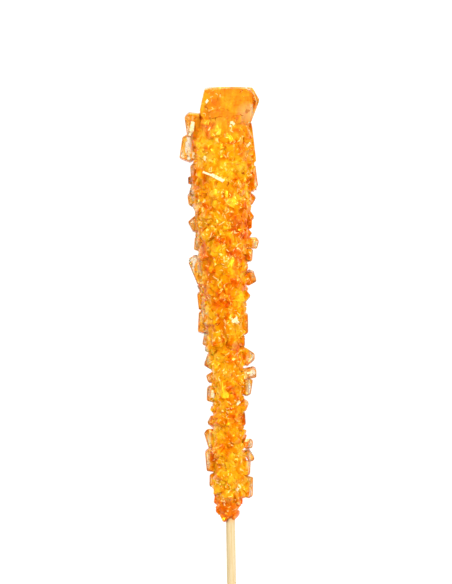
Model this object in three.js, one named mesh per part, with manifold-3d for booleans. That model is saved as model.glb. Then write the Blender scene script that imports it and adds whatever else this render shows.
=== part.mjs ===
// Rock candy on a stick: sugar crystals grown along a thin wooden stick, lying on its side on a flat surface.
// Millimetres, +Z up. The stick runs along Y, with its bare end towards -Y and the candy's flat end towards
// +Y. The origin is on that surface, under the middle of the part's box.
import * as THREE from "three";
import { mergeVertices } from "three/addons/utils/BufferGeometryUtils.js";
import Module from "manifold-3d";

// Driving dimensions. "Along" is a distance along the stick from the candy's thin end, "across" is to the
// right of the stick's centre line, and "up" is above it.
const candyLength = 130;
const stickLength = 165;
const stickDiameter = 2.8;
const stickSides = 24;
const stickEndRounding = 0.4;
const candyPastStick = 12; // of candy beyond the stick's inner end
const boreClearance = 0.3; // between the stick and the crystals round it
const lyingSlope = 2.4; // degrees: the thick end of the candy holds the stick higher than the thin end
const stickHeight = 5.25; // of the stick's centre line above the surface, at the candy's thin end

// How far the candy reaches from the stick's centre line to the left and to the right.
const outline = [
  { along: 0, left: 2.2, right: 2.2 },
  { along: 1.5, left: 4.0, right: 2.7 },
  { along: 4.5, left: 5.0, right: 3.4 },
  { along: 9, left: 5.2, right: 5.4 },
  { along: 19, left: 5.6, right: 5.2 },
  { along: 27, left: 5.4, right: 4.5 },
  { along: 33, left: 5.2, right: 4.8 },
  { along: 43, left: 5.5, right: 5.4 },
  { along: 52, left: 5.9, right: 4.8 },
  { along: 57, left: 7.4, right: 5.6 },
  { along: 66, left: 7.8, right: 6.2 },
  { along: 78, left: 8.4, right: 6.8 },
  { along: 87, left: 9.2, right: 7.8 },
  { along: 99, left: 9.6, right: 8.8 },
  { along: 111, left: 9.6, right: 9.2 },
  { along: 119, left: 8.0, right: 8.6 },
  { along: 130, left: 5.6, right: 7.6 },
];

// A sugar crystal is a slab that leans by the angle that sugar grows at.
const crystalLean = 13.3; // degrees off square
const cornerLoss = 0.3; // share of the width that a blunt-cornered crystal's two corners lose

// The crystals grown all over the candy
const growthSeed = 11;
const crystalSpacing = 5;
const crystalLong = [3.6, 6.6];
const wideShare = [0.62, 0.88]; // a crystal's width, of its length
const thickShare = [0.4, 0.62]; // its thickness, of its length
const buriedShare = [0.4, 0.56]; // from the candy's outline in to its middle, of its length
const coreInset = 1.8; // from the candy's outline in to the close-grown mass under the crystals
const coreSides = 12;

// The large crystals of the flat end. "Turn" is in degrees, from across to along, and "tip" from along to up.
const endCrystals = [
  { along: 124.6, across: 1.45, up: 2.4, long: 16.3, wide: 10.8, thick: 7.6, turn: 0, tip: 7 },
  { along: 123.4, across: -1.3, up: -3.4, long: 9.4, wide: 11, thick: 6.6, turn: 2, tip: -6 },
  { along: 124.6, across: 6.2, up: -3.6, long: 8, wide: 11.4, thick: 6, turn: -9, tip: 5 },
];

// The large crystals that stand out at the candy's two sides
const sideCrystals = [
  // the left side, from the flat end down
  { along: 118.8, across: -8.9, up: 1.4, long: 7.6, wide: 4.8, thick: 2.6, turn: 97, tip: 12 },
  { along: 111.8, across: -10.5, up: -0.8, long: 7.8, wide: 4.8, thick: 3.4, turn: 81, tip: -9 },
  { along: 104.6, across: -8.6, up: 1.6, long: 5.2, wide: 3, thick: 2.6, turn: 92, tip: 8 },
  { along: 96.6, across: -8.9, up: -1.4, long: 4.4, wide: 3.8, thick: 3, turn: 20, tip: 18 },
  { along: 89.1, across: -8.4, up: 0.8, long: 4.6, wide: 4.4, thick: 3, turn: 40, tip: -14 },
  { along: 83.1, across: -7.9, up: -1.6, long: 4.4, wide: 3, thick: 2.4, turn: 85, tip: 10 },
  { along: 75, across: -8, up: 1.1, long: 10.2, wide: 4.2, thick: 2.2, turn: 111, tip: -16 },
  { along: 66, across: -6.4, up: -1.3, long: 6, wide: 4.5, thick: 3, turn: 95, tip: 9 },
  { along: 59.4, across: -6.2, up: 0.7, long: 7.2, wide: 4.8, thick: 3.4, turn: 86, tip: -12 },
  { along: 53.8, across: -5.9, up: -1.3, long: 3.4, wide: 2.8, thick: 2.4, turn: 80, tip: 12 },
  { along: 47.7, across: -4.7, up: 1.2, long: 4.5, wide: 3.9, thick: 2.8, turn: 70, tip: 15 },
  { along: 42.6, across: -4.8, up: -0.8, long: 3.2, wide: 2.8, thick: 2.4, turn: 30, tip: -10 },
  { along: 37.8, across: -5, up: 1.1, long: 4.8, wide: 2.8, thick: 2.4, turn: 88, tip: 12 },
  { along: 24, across: -5, up: -1.1, long: 6, wide: 3.9, thick: 2.8, turn: 106, tip: -14 },
  { along: 17.7, across: -5.4, up: 0.8, long: 6.9, wide: 3.4, thick: 2.4, turn: 94, tip: 11 },
  { along: 11.4, across: -4.8, up: -0.7, long: 4.2, wide: 2.6, thick: 2.2, turn: 88, tip: -9 },
  { along: 2.8, across: -2.9, up: 0.5, long: 3, wide: 2.4, thick: 2, turn: 62, tip: 10 },
  // the right side, from the flat end down
  { along: 113, across: 6.9, up: -1.3, long: 13, wide: 4.6, thick: 3.6, turn: 96, tip: 6 },
  { along: 102.9, across: 7.7, up: 1.1, long: 9, wide: 4.2, thick: 3.6, turn: 96, tip: -10 },
  { along: 96.3, across: 7.6, up: -1.6, long: 3.4, wide: 2.8, thick: 2.4, turn: 60, tip: 14 },
  { along: 90.9, across: 6.9, up: 1.4, long: 3.2, wide: 3, thick: 2.6, turn: 45, tip: -16 },
  { along: 83.1, across: 7.4, up: -0.8, long: 5.1, wide: 3.3, thick: 2.2, turn: -3, tip: 12 },
  { along: 79.5, across: 7, up: 1.5, long: 3.9, wide: 2.2, thick: 2.2, turn: 85, tip: -14 },
  { along: 72.6, across: 6.9, up: -1.3, long: 4, wide: 3.9, thick: 2.8, turn: 30, tip: 18 },
  { along: 66.9, across: 5.3, up: 1.2, long: 3.6, wide: 2.8, thick: 2.4, turn: 50, tip: -12 },
  { along: 58.8, across: 4.6, up: -0.7, long: 6.6, wide: 3.6, thick: 3, turn: 90, tip: 10 },
  { along: 53.6, across: 4, up: 1.4, long: 3.8, wide: 2.6, thick: 2.4, turn: 92, tip: -12 },
  { along: 48.6, across: 5.6, up: -1.1, long: 4.8, wide: 4.4, thick: 2.6, turn: -36, tip: -15 },
  { along: 43.8, across: 6.1, up: 0.8, long: 5.2, wide: 3, thick: 3.4, turn: 12, tip: 13 },
  { along: 39.6, across: 5.4, up: -1.3, long: 5.4, wide: 3.6, thick: 2.8, turn: 80, tip: -11 },
  { along: 34.2, across: 4.4, up: 1, long: 3.4, wide: 2.8, thick: 2.4, turn: 70, tip: 15 },
  { along: 30, across: 3.7, up: -0.9, long: 4.4, wide: 2.8, thick: 2.4, turn: 93, tip: 11 },
  { along: 22.5, across: 5.7, up: 1.1, long: 3, wide: 2.8, thick: 2.4, turn: 5, tip: -12 },
  { along: 18.9, across: 6, up: -0.7, long: 3.9, wide: 2, thick: 2.4, turn: 120, tip: 14 },
  { along: 15.2, across: 4.7, up: 1, long: 4.8, wide: 3.2, thick: 2.6, turn: 86, tip: -12 },
  { along: 9.3, across: 5.2, up: -0.5, long: 6.6, wide: 3.6, thick: 3, turn: 88, tip: -9 },
];

// The crystals that the candy lies on, at its thick end and at its thin end
const footCrystals = [
  { along: 112, across: -3.6, up: -8.4, long: 6, wide: 4.8, thick: 4, turn: 20 },
  { along: 101, across: 3.4, up: -7.9, long: 6, wide: 4.8, thick: 4, turn: 75 },
  { along: 92, across: -3.2, up: -7.5, long: 5.4, wide: 4.4, thick: 4, turn: 130 },
  { along: 17, across: 2.6, up: -4.8, long: 4.6, wide: 3.6, thick: 3.2, turn: 60 },
  { along: 9, across: -2.6, up: -4.5, long: 4.6, wide: 3.6, thick: 3.2, turn: 110 },
];

const stickEnd = candyLength - candyPastStick;
const goldenAngle = Math.PI * (3 - Math.sqrt(5));
const { degToRad } = THREE.MathUtils;
const lying = new THREE.Matrix4()
  .makeTranslation(0, 0, stickHeight)
  .multiply(new THREE.Matrix4().makeRotationX(degToRad(lyingSlope)));

const wasm = await Module();
wasm.setup();

// Repeatable random draws from 0 to 1.
function drawsFrom(seed) {
  let state = seed;
  return () => {
    state = (Math.imul(state, 1664525) + 1013904223) >>> 0;
    return state / 4294967296;
  };
}

const between = ([low, high], share) => low + (high - low) * share;

// The candy's reach from the stick's centre line, in the direction of an angle from across to up.
function reachAt(along, angle) {
  const next = outline.findIndex((station) => station.along >= along);
  const [a, b] = [outline[next - 1], outline[next]];
  const share = (along - a.along) / (b.along - a.along);
  const left = between([a.left, b.left], share);
  const right = between([a.right, b.right], share);
  return (left + right) / 2 + (Math.cos(angle) * (right - left)) / 2;
}

// A turn drawn evenly from all the turns there are.
function anyTurn(draw) {
  const [share, first, second] = [draw(), 2 * Math.PI * draw(), 2 * Math.PI * draw()];
  const [near, far] = [Math.sqrt(1 - share), Math.sqrt(share)];
  return new THREE.Quaternion(
    near * Math.sin(first),
    near * Math.cos(first),
    far * Math.sin(second),
    far * Math.cos(second),
  );
}

function solidFrom(geometry, matrix = new THREE.Matrix4()) {
  const placed = geometry.applyMatrix4(matrix);
  placed.deleteAttribute("normal");
  placed.deleteAttribute("uv");
  const merged = mergeVertices(placed, 1e-4);
  return new wasm.Manifold(
    new wasm.Mesh({
      numProp: 3,
      vertProperties: merged.attributes.position.array,
      triVerts: new Uint32Array(merged.index.array),
    }),
  );
}

function geometryFrom(solid) {
  const { vertProperties, triVerts } = solid.getMesh();
  return new THREE.BufferGeometry()
    .setAttribute("position", new THREE.BufferAttribute(vertProperties, 3))
    .setIndex(new THREE.BufferAttribute(triVerts, 1));
}

// One crystal as a solid. Its long side lies across and its wide side along before it is turned.
function crystal({ long, wide, thick, corners, middle, turn }) {
  const [x, y, loss] = [long / 2, wide / 2, cornerLoss * wide];
  const sharp = [
    [-x, -y],
    [x, -y],
    [x, y],
    [-x, y],
  ];
  const blunt = [
    [-x + loss, -y],
    [x, -y],
    [x, y - loss],
    [x - loss, y],
    [-x, y],
    [-x, -y + loss],
  ];
  const lean = Math.tan(degToRad(crystalLean));
  const square = corners === "blunt" ? blunt : sharp;
  const points = square.map(([px, py]) => new THREE.Vector2(px + lean * py, py));
  const slab = new THREE.ExtrudeGeometry(new THREE.Shape(points), { depth: thick, bevelEnabled: false });
  slab.translate(0, 0, -thick / 2);
  return solidFrom(slab, new THREE.Matrix4().compose(middle, turn, new THREE.Vector3(1, 1, 1)));
}

// Crystals all round the stick, from the thin end to the flat end, evenly spaced on a spiral.
function grownCrystals() {
  const draw = drawsFrom(growthSeed);
  const crystals = [];
  let angle = 0;
  for (let along = crystalSpacing / 4; along < candyLength; angle += goldenAngle) {
    const reach = reachAt(along, angle);
    const long = between(crystalLong, draw() ** 2);
    const wide = long * between(wideShare, draw());
    const thick = long * between(thickShare, draw());
    const out = Math.max(0, reach - long * between(buriedShare, draw()));
    const middle = new THREE.Vector3(out * Math.cos(angle), along, out * Math.sin(angle));
    crystals.push(crystal({ long, wide, thick, corners: "sharp", middle, turn: anyTurn(draw) }));
    along += crystalSpacing ** 2 / (2 * Math.PI * reach);
  }
  return crystals;
}

// A crystal put where it is wanted, with its broad face up.
function placedCrystal({ along, across, up, turn, tip = 0, ...size }) {
  const angles = new THREE.Euler(degToRad(tip), 0, degToRad(turn), "XYZ");
  const turned = new THREE.Quaternion().setFromEuler(angles);
  return crystal({ ...size, corners: "blunt", middle: new THREE.Vector3(across, along, up), turn: turned });
}

// The close-grown mass under the crystals, round along the stick.
function core() {
  const rings = outline.map(({ along, left, right }) => {
    const radius = Math.max((left + right) / 2 - coreInset, stickDiameter / 2);
    return new THREE.Vector2(radius, along);
  });
  const profile = [new THREE.Vector2(0, 0), ...rings, new THREE.Vector2(0, candyLength)];
  return solidFrom(new THREE.LatheGeometry(profile, coreSides));
}

// A rod on the stick's centre line, between two places along it, with rounded ends where that is asked for.
function rod(radius, from, to, rounding = 0) {
  const profile = [
    [0, from],
    [radius - rounding, from],
    [radius, from + rounding],
    [radius, to - rounding],
    [radius - rounding, to],
    [0, to],
  ].map(([r, along]) => new THREE.Vector2(r, along));
  return solidFrom(new THREE.LatheGeometry(profile, stickSides));
}

// A block far larger than the candy, with one face on the plane through a point. It lies on the side of that
// plane that the normal points to.
function blockBeyond(point, normal) {
  const size = 4 * candyLength;
  const turn = new THREE.Quaternion().setFromUnitVectors(new THREE.Vector3(0, 0, 1), normal);
  const middle = normal.clone().multiplyScalar(size / 2).add(point);
  return solidFrom(
    new THREE.BoxGeometry(size, size, size),
    new THREE.Matrix4().compose(middle, turn, new THREE.Vector3(1, 1, 1)),
  );
}

// The outermost of a solid's skins, which fills any hollow that fusing has sealed.
function outermost(solid) {
  return solid.decompose().reduce((most, piece) => (piece.volume() > most.volume() ? piece : most));
}

function candy() {
  const fused = wasm.Manifold.union([
    core(),
    ...grownCrystals(),
    ...[...endCrystals, ...sideCrystals, ...footCrystals].map(placedCrystal),
  ]);
  const down = new THREE.Vector3(0, 0, -1);
  const surface = new THREE.Vector3().applyMatrix4(lying.clone().invert());
  const floor = blockBeyond(surface, down.applyAxisAngle(new THREE.Vector3(1, 0, 0), -degToRad(lyingSlope)));
  const flatEnd = blockBeyond(new THREE.Vector3(0, candyLength, 0), new THREE.Vector3(0, 1, 0));
  const bore = rod(stickDiameter / 2 + boreClearance, -candyLength, stickEnd + boreClearance);
  return outermost(outermost(fused.subtract(floor).subtract(flatEnd)).subtract(bore));
}

const sugar = new THREE.MeshStandardMaterial({
  color: 0xf59a1c,
  roughness: 0.12,
  metalness: 0,
  flatShading: true,
});
const birch = new THREE.MeshStandardMaterial({ color: 0xead9b0, roughness: 0.65, metalness: 0 });

const part = new THREE.Group();
function add(name, solid, material) {
  const mesh = new THREE.Mesh(geometryFrom(solid), material);
  mesh.name = name;
  mesh.applyMatrix4(lying);
  part.add(mesh);
}
add("crystals", candy(), sugar);
add("stick", rod(stickDiameter / 2, stickEnd - stickLength, stickEnd, stickEndRounding), birch);

const middle = new THREE.Box3().setFromObject(part).getCenter(new THREE.Vector3());
part.position.set(-middle.x, -middle.y, 0);

export default part;
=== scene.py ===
"""Rock candy on its stick, lying on a pale table under soft light.

Metres, +Z up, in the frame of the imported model. Sizes are written in millimetres and turned to metres
by mm. "Along" is a distance along the stick from the candy's thin end, "across" is to the right of the
stick's centre line, and "up" is above it.
"""

import math

import bmesh
import bpy
from mathutils import Euler, Matrix, Quaternion, Vector, noise
from mathutils.bvhtree import BVHTree


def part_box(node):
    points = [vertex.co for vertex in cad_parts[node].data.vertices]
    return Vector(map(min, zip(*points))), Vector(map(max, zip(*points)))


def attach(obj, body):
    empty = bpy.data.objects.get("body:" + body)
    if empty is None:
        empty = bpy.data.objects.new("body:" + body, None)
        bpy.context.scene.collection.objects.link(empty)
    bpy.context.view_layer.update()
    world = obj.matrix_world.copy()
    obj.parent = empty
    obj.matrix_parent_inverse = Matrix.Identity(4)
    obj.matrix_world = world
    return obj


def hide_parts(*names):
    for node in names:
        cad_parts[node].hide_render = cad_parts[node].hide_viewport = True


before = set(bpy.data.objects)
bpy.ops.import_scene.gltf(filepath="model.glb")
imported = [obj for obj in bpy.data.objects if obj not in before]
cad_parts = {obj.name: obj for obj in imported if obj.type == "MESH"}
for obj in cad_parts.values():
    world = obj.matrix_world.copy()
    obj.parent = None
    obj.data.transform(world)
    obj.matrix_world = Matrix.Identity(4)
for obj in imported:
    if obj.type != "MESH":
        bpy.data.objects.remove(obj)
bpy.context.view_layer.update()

# The stick.
# A birch dowel, machined round and cut to length, with the edges of its ends just broken. The sugar has
# grown round it and grips it, so it runs inside the candy to a little short of the flat end.

mm = 0.001
candy_length = 130
stick_length = 165
stick_diameter = 2.8
candy_past_stick = 12
stick_end = candy_length - candy_past_stick
stick_start = stick_end - stick_length
end_rounding = 0.4
stick_sides = 40
fibre_waves = 3
fibre_waviness = 0.02

birch_pale = "#CBBB98"
birch_dark = "#B99B62"
birch_pore = "#A78048"
syrup_stain = "#E9A94E"
# A single fibre is about 0.02 mm wide, too fine to show, so it is drawn as wide as a bundle of them.
fibre_width = 0.18
fibre_length = 14
fibre_relief = 0.04
pore_width = 0.09
pore_length = 1.6
pore_darkness = 0.6
stain_start = -1.6
stain_end = 1.0
stain_strength = 0.9

stick_low, stick_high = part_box("stick")
lying_slope = math.radians(2.4)
stick_direction = Vector((0, math.cos(lying_slope), math.sin(lying_slope)))
thin_end = (stick_low + stick_high) / 2 - (stick_start + stick_end) / 2 * mm * stick_direction
lying = Matrix.Translation(thin_end) @ Matrix.Rotation(lying_slope, 4, "X") @ Matrix.Scale(mm, 4)


def round_point(along, radius, angle):
    """A point round the stick, in millimetres: across, along, up."""
    return Vector((radius * math.cos(angle), along, radius * math.sin(angle)))


def skin_over(rings):
    """A closed mesh over rings of points round the stick, with each end filled."""
    sides = len(rings[0])
    last = (len(rings) - 1) * sides
    faces = [tuple(range(sides)), tuple(reversed(range(last, last + sides)))]
    for start in range(0, last, sides):
        for side in range(sides):
            after = (side + 1) % sides
            faces.append((start + side, start + sides + side, start + sides + after, start + after))
    mesh = bpy.data.meshes.new("skin")
    mesh.from_pydata([point for ring in rings for point in ring], [], faces)
    return mesh


def smooth_sides(mesh):
    """Shades a skin smooth all round and leaves its filled ends flat."""
    for face in mesh.polygons:
        face.use_smooth = len(face.vertices) == 4


def linear(hex_colour):
    """An sRGB hex colour as linear red, green, blue and a full alpha."""
    shares = [int(hex_colour[start : start + 2], 16) / 255 for start in (1, 3, 5)]
    return [share / 12.92 if share <= 0.04045 else ((share + 0.055) / 1.055) ** 2.4 for share in shares] + [1]


def add_node(owner, kind, settings=None, links=None, stops=()):
    """Adds a node with its settings and links, and on a colour ramp its stops: place and hex colour.

    A link comes from an output, or from a node, which stands for its first output.
    """
    added = owner.node_tree.nodes.new(kind)
    for name, value in (settings or {}).items():
        if isinstance(name, int) or name in added.inputs:
            added.inputs[name].default_value = value
        else:
            setattr(added, name, value)
    for name, source in (links or {}).items():
        output = source.outputs[0] if isinstance(source, bpy.types.Node) else source
        owner.node_tree.links.new(output, added.inputs[name])
    for number, (position, colour) in enumerate(stops):
        ramp = added.color_ramp.elements
        stop = ramp.new(position) if number == len(ramp) else ramp[number]
        stop.position = position
        stop.color = linear(colour)
    return added


# The sockets of a Mix node for colours: its share, its two colours and the mixed colour.
mix_share, mix_first, mix_second = 0, 6, 7
mixed = 2


def new_material(name):
    """A material with no nodes yet."""
    material = bpy.data.materials.new(name)
    material.use_nodes = True
    material.node_tree.nodes.clear()
    return material


def stick_coordinates(owner):
    """Places on a piece as across, along and up, in millimetres."""
    place = add_node(owner, "ShaderNodeTexCoord").outputs["Object"]
    settings = {
        "vector_type": "TEXTURE",
        "Location": thin_end,
        "Rotation": (lying_slope, 0, 0),
        "Scale": (mm, mm, mm),
    }
    return add_node(owner, "ShaderNodeMapping", settings, {"Vector": place})


def new_piece(name, mesh, materials, node):
    """A finished piece of the object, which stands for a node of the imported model."""
    mesh.transform(lying)
    for number, material in enumerate(materials):
        if number < len(mesh.materials):
            mesh.materials[number] = material
        else:
            mesh.materials.append(material)
    piece = bpy.data.objects.new(name, mesh)
    bpy.context.scene.collection.objects.link(piece)
    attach(piece, "root")
    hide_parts(node)
    return piece


def stick_rings():
    """Rings of the dowel: quarter-round at both ends, with the fine waves of its fibres between."""
    radius = stick_diameter / 2
    quarter = [math.radians(turn) for turn in (0, 30, 60, 90)]
    inset = [(end_rounding * (1 - math.sin(turn)), end_rounding * (1 - math.cos(turn))) for turn in quarter]
    starts = [(stick_start + back, radius - narrowing) for narrowing, back in inset]
    ends = [(stick_end - back, radius - narrowing) for narrowing, back in reversed(inset)]
    middles = [(stick_start + step, radius) for step in range(1, stick_length)]
    rings = []
    for along, ring_radius in starts + middles + ends:
        ring = []
        for side in range(stick_sides):
            angle = 2 * math.pi * side / stick_sides
            wave_place = (fibre_waves * math.cos(angle), along / fibre_length, fibre_waves * math.sin(angle))
            fibre = noise.noise(Vector(wave_place))
            ring.append(round_point(along, ring_radius + fibre_waviness * (fibre - 1), angle))
        rings.append(ring)
    return rings


def birch():
    """Birch dowel, sanded and left bare: pale and matt, with fine straight fibres and short dark pores.

    Syrup has soaked into it just where it comes out of the candy.
    """
    material = new_material("birch")
    place = stick_coordinates(material)
    streaked = []
    for width, length in ((fibre_width, fibre_length), (pore_width, pore_length)):
        streak = {"Scale": (1 / width, 1 / length, 1 / width)}
        streaked.append(add_node(material, "ShaderNodeMapping", streak, {"Vector": place}))
    fibre_place, pore_place = streaked
    fibres = add_node(
        material, "ShaderNodeTexNoise", {"Scale": 1, "Detail": 4, "Roughness": 0.6}, {"Vector": fibre_place}
    )
    pores = add_node(material, "ShaderNodeTexNoise", {"Scale": 1, "Detail": 2}, {"Vector": pore_place})
    wood = add_node(
        material, "ShaderNodeValToRGB", {}, {"Fac": fibres}, [(0.28, birch_dark), (0.55, birch_pale)]
    )
    pore_share = add_node(
        material,
        "ShaderNodeMapRange",
        {"From Min": 0.66, "From Max": 0.74, "To Max": pore_darkness},
        {"Value": pores},
    )
    along = add_node(material, "ShaderNodeSeparateXYZ", {}, {"Vector": place}).outputs["Y"]
    stain_share = add_node(
        material,
        "ShaderNodeMapRange",
        {"From Min": stain_start, "From Max": stain_end, "To Max": stain_strength},
        {"Value": along},
    )
    colour = wood
    for share, hex_colour in ((pore_share, birch_pore), (stain_share, syrup_stain)):
        colour = add_node(
            material,
            "ShaderNodeMix",
            {"data_type": "RGBA", mix_second: linear(hex_colour)},
            {mix_share: share, mix_first: colour},
        ).outputs[mixed]
    roughness = add_node(material, "ShaderNodeMapRange", {"To Min": 0.72, "To Max": 0.52}, {"Value": fibres})
    relief = add_node(
        material, "ShaderNodeBump", {"Strength": 0.5, "Distance": fibre_relief * mm}, {"Height": fibres}
    )
    surface = add_node(
        material,
        "ShaderNodeBsdfPrincipled",
        {"IOR": 1.5, "Specular IOR Level": 0.3},
        {"Base Color": colour, "Roughness": roughness, "Normal": relief},
    )
    add_node(material, "ShaderNodeOutputMaterial", {}, {"Surface": surface})
    return material


stick_mesh = skin_over(stick_rings())
smooth_sides(stick_mesh)
new_piece("birch_stick", stick_mesh, [birch()], "stick")

# The cloudy heart of the candy.
# Sugar that set first, round the stick and in the middle of each larger crystal, with the clear sugar
# grown over it. It is full of fine flaws that scatter light back out, which gives the candy its glow.

# along; how far the candy reaches to the left and to the right of the stick's centre line
outline = [
    (0, 2.2, 2.2),
    (1.5, 4.0, 2.7),
    (4.5, 5.0, 3.4),
    (9, 5.2, 5.4),
    (19, 5.6, 5.2),
    (27, 5.4, 4.5),
    (33, 5.2, 4.8),
    (43, 5.5, 5.4),
    (52, 5.9, 4.8),
    (57, 7.4, 5.6),
    (66, 7.8, 6.2),
    (78, 8.4, 6.8),
    (87, 9.2, 7.8),
    (99, 9.6, 8.8),
    (111, 9.6, 9.2),
    (119, 8.0, 8.6),
    (130, 5.6, 7.6),
]

# Sugar crystals lean by 13.3 degrees. Well-grown ones are blunt, with two opposite corners missing.
crystal_lean = 13.3
corner_loss = 0.3
growth_seed = 11
crystal_spacing = 5
crystal_long = (3.6, 6.6)
wide_share = (0.62, 0.88)
thick_share = (0.4, 0.62)
buried_share = (0.4, 0.56)
core_inset = 1.8
core_sides = 12

# across, along and up of the middle; long, wide and thick; turn from across to along and tip from along
# to up, in degrees
end_crystals = [
    (1.45, 124.6, 2.4, 16.3, 10.8, 7.6, 0, 7),
    (-1.3, 123.4, -3.4, 9.4, 11, 6.6, 2, -6),
    (6.2, 124.6, -3.6, 8, 11.4, 6, -9, 5),
]
foot_crystals = [
    (-3.6, 112, -8.4, 6, 4.8, 4, 20, 0),
    (3.4, 101, -7.9, 6, 4.8, 4, 75, 0),
    (-3.2, 92, -7.5, 5.4, 4.4, 4, 130, 0),
    (2.6, 17, -4.8, 4.6, 3.6, 3.2, 60, 0),
    (-2.6, 9, -4.5, 4.6, 3.6, 3.2, 110, 0),
]

golden_angle = math.pi * (3 - math.sqrt(5))
draw_factor = 1664525
draw_step = 1013904223
draw_range = 2**32

heart_depth = 0.95
heart_core_depth = 1.2
heart_seed = 21
heart_spacing = 3.4
heart_long = (2.4, 4.0)
heart_depths = (2.6, 3.8)
heart_end = 124
heart_smallest = 0.7
heart_edge = 0.15
block_size = 4 * candy_length
block_edge = 1

heart_orange = "#FFA424"
heart_yellow = "#FFC236"
heart_pale = "#FFD86C"
heart_red = "#E8782C"
heart_grain = 1.3
heart_grain_share = 0.6
heart_patch = 4
red_full_end = 3
red_end = 9
red_strength = 0.8


def between(low, high, share):
    """The value that lies a share of the way from low to high."""
    return low + (high - low) * share


def reach_at(along, angle):
    """How far the candy reaches from the stick's centre line. The angle turns from across to up."""
    after = next(number for number, station in enumerate(outline) if station[0] >= along) or 1
    (start, left_start, right_start), (end, left_end, right_end) = outline[after - 1], outline[after]
    share = (along - start) / (end - start)
    left = between(left_start, left_end, share)
    right = between(right_start, right_end, share)
    return (left + right) / 2 + math.cos(angle) * (right - left) / 2


def spiral(spacing, end):
    """Evenly spread places round the candy, from its thin end: along, angle and how far the candy reaches."""
    along = spacing / 4
    angle = 0
    while along < end:
        reach = reach_at(along, angle)
        yield along, angle, reach
        along += spacing**2 / (2 * math.pi * reach)
        angle += golden_angle


def draws_from(seed):
    """Repeatable random draws from 0 to 1."""
    state = seed

    def draw():
        nonlocal state
        state = (state * draw_factor + draw_step) % draw_range
        return state / draw_range

    return draw


def any_turn(draw):
    """A turn drawn evenly from all the turns there are."""
    share, first, second = draw(), 2 * math.pi * draw(), 2 * math.pi * draw()
    near, far = math.sqrt(1 - share), math.sqrt(share)
    turn = (far * math.cos(second), near * math.sin(first), near * math.cos(first), far * math.sin(second))
    return Quaternion(turn).to_matrix().to_4x4()


def grown_crystals():
    """The crystals all round the stick: long, wide, thick, whether it has lost corners, and its place."""
    draw = draws_from(growth_seed)
    crystals = []
    for along, angle, reach in spiral(crystal_spacing, candy_length):
        long = between(*crystal_long, draw() ** 2)
        wide = long * between(*wide_share, draw())
        thick = long * between(*thick_share, draw())
        out = max(0, reach - long * between(*buried_share, draw()))
        place = Matrix.Translation(round_point(along, out, angle)) @ any_turn(draw)
        crystals.append((long, wide, thick, False, place))
    return crystals


def heart_crystals():
    """Smaller crystals that fill the heart between the large ones."""
    draw = draws_from(heart_seed)
    crystals = []
    for along, angle, reach in spiral(heart_spacing, heart_end):
        long = between(*heart_long, draw())
        wide = long * between(*wide_share, draw())
        thick = long * between(*thick_share, draw())
        out = max(0, reach - between(*heart_depths, draw()))
        place = Matrix.Translation(round_point(along, out, angle)) @ any_turn(draw)
        crystals.append((long, wide, thick, False, place))
    return crystals


def placed_crystals(listed):
    """Crystals put where they are wanted, with their broad faces up and two corners lost."""
    crystals = []
    for across, along, up, long, wide, thick, turn, tip in listed:
        tipped = Matrix.Rotation(math.radians(tip), 4, "X") @ Matrix.Rotation(math.radians(turn), 4, "Z")
        crystals.append((long, wide, thick, True, Matrix.Translation((across, along, up)) @ tipped))
    return crystals


def slab(long, wide, thick, blunt, place, rounding, edge_slot=0, rounding_steps=1):
    """A leaning slab of sugar as an object. A blunt one has lost two opposite corners.

    Its edges are rounded in one or more steps, and have the material of their own slot.
    """
    x, y, loss = long / 2, wide / 2, corner_loss * wide
    corners = [(-x, -y), (x, -y), (x, y), (-x, y)]
    if blunt:
        corners = [(-x + loss, -y), (x, -y), (x, y - loss), (x - loss, y), (-x, y), (-x, -y + loss)]
    lean = math.tan(math.radians(crystal_lean))
    shape = bmesh.new()
    top = [shape.verts.new((across + lean * along, along, thick / 2)) for across, along in corners]
    bottom = [shape.verts.new((across + lean * along, along, -thick / 2)) for across, along in corners]
    shape.faces.new(top)
    shape.faces.new(reversed(bottom))
    for number in range(len(corners)):
        shape.faces.new((top[number - 1], bottom[number - 1], bottom[number], top[number]))
    bmesh.ops.bevel(
        shape,
        geom=shape.edges[:],
        offset=rounding,
        segments=rounding_steps,
        affect="EDGES",
        material=edge_slot,
    )
    mesh = bpy.data.meshes.new("slab")
    shape.to_mesh(mesh)
    shape.free()
    mesh.transform(place)
    return bpy.data.objects.new("slab", mesh)


def core(inset):
    """The close-grown mass under the crystals, as an object."""
    angles = [2 * math.pi * side / core_sides for side in range(core_sides)]
    rings = []
    for along, left, right in outline:
        radius = max((left + right) / 2 - inset, stick_diameter / 2)
        rings.append([round_point(along, radius, angle) for angle in angles])
    return bpy.data.objects.new("core", skin_over(rings))


def combined(first, others, operation):
    """One mesh from an object and others, joined to it or cut from it. The objects are used up."""
    group = bpy.data.collections.new("group")
    bpy.context.scene.collection.children.link(group)
    bpy.context.scene.collection.objects.link(first)
    for other in others:
        group.objects.link(other)
    modifier = first.modifiers.new("combine", "BOOLEAN")
    modifier.operation = operation
    modifier.operand_type = "COLLECTION"
    modifier.collection = group
    modifier.solver = "MANIFOLD"
    made = bpy.data.meshes.new_from_object(first.evaluated_get(bpy.context.evaluated_depsgraph_get()))
    for used in [first, *others]:
        bpy.data.objects.remove(used)
    bpy.data.collections.remove(group)
    return made


def cut_beyond(mesh, cuts):
    """A mesh cut off at planes, each given by a point on it and the direction of what is lost."""
    blocks = []
    for point, normal in cuts:
        turn = normal.to_track_quat("Z", "Y").to_matrix().to_4x4()
        place = Matrix.Translation(point + normal * block_size / 2) @ turn
        blocks.append(slab(2 * block_size, block_size, block_size, False, place, block_edge))
    return combined(bpy.data.objects.new("whole", mesh), blocks, "DIFFERENCE")


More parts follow.
